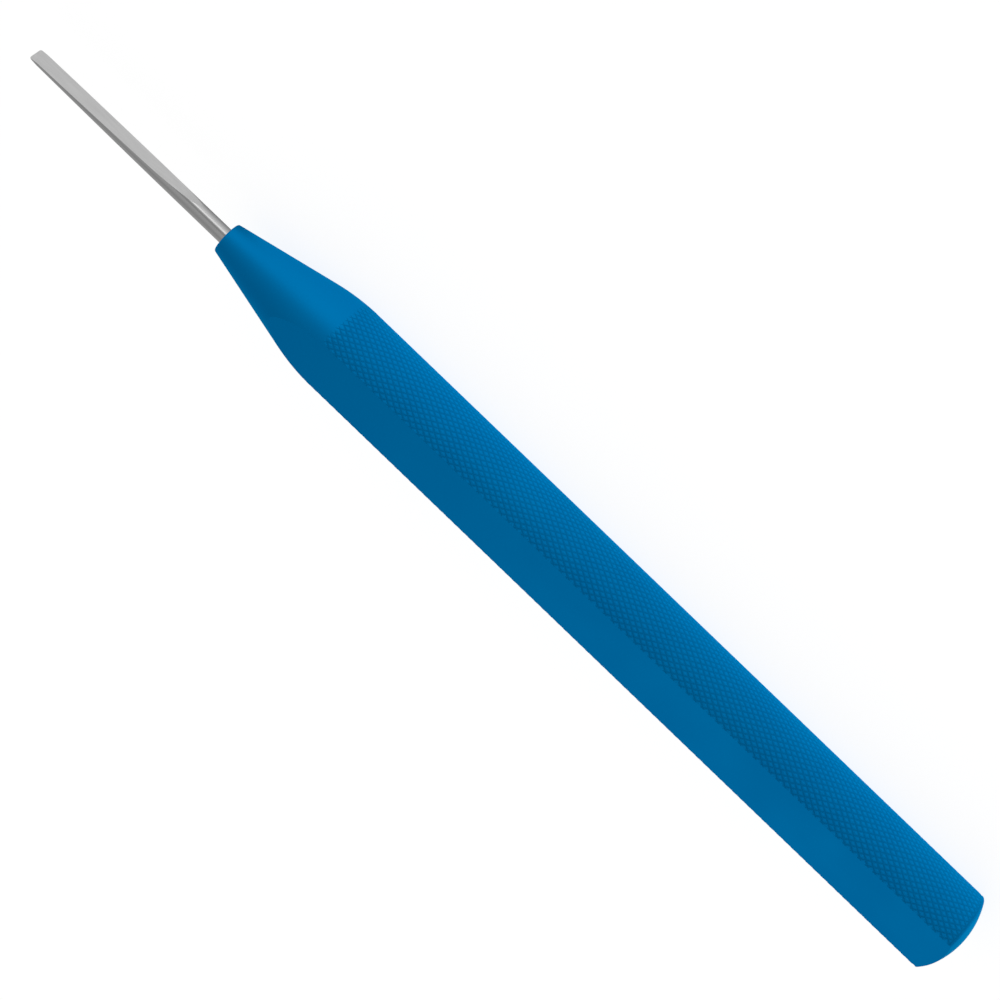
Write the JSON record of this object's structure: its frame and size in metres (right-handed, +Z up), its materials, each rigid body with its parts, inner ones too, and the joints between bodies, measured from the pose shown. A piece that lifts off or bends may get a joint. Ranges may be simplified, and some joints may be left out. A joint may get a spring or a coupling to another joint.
{
  "type": "osteotome",
  "caption": "Straight osteotome with a narrow double-bevel steel blade, a tapered handle knurled between opposite flats, and a domed end that a mallet strikes.",
  "frame": {"origin": "on the surface that the handle's lower flat rests on, below the middle of the whole length", "axes": "+X along the axis towards the cutting edge, +Z up out of the upper flat, +Y across the handle at right angles to the blade's broad faces"},
  "size_m": [0.1604, 0.0122, 0.0095],
  "materials": {
    "anodised_aluminium": "satin blue anodised, with fine diamond knurling on the round sides and smooth flats",
    "stainless_steel": "satin round rod with finely ground blade faces"
  },
  "bodies": {
    "root": {"handle": "anodised_aluminium", "blade": "stainless_steel"}
  },
  "joints": []
}
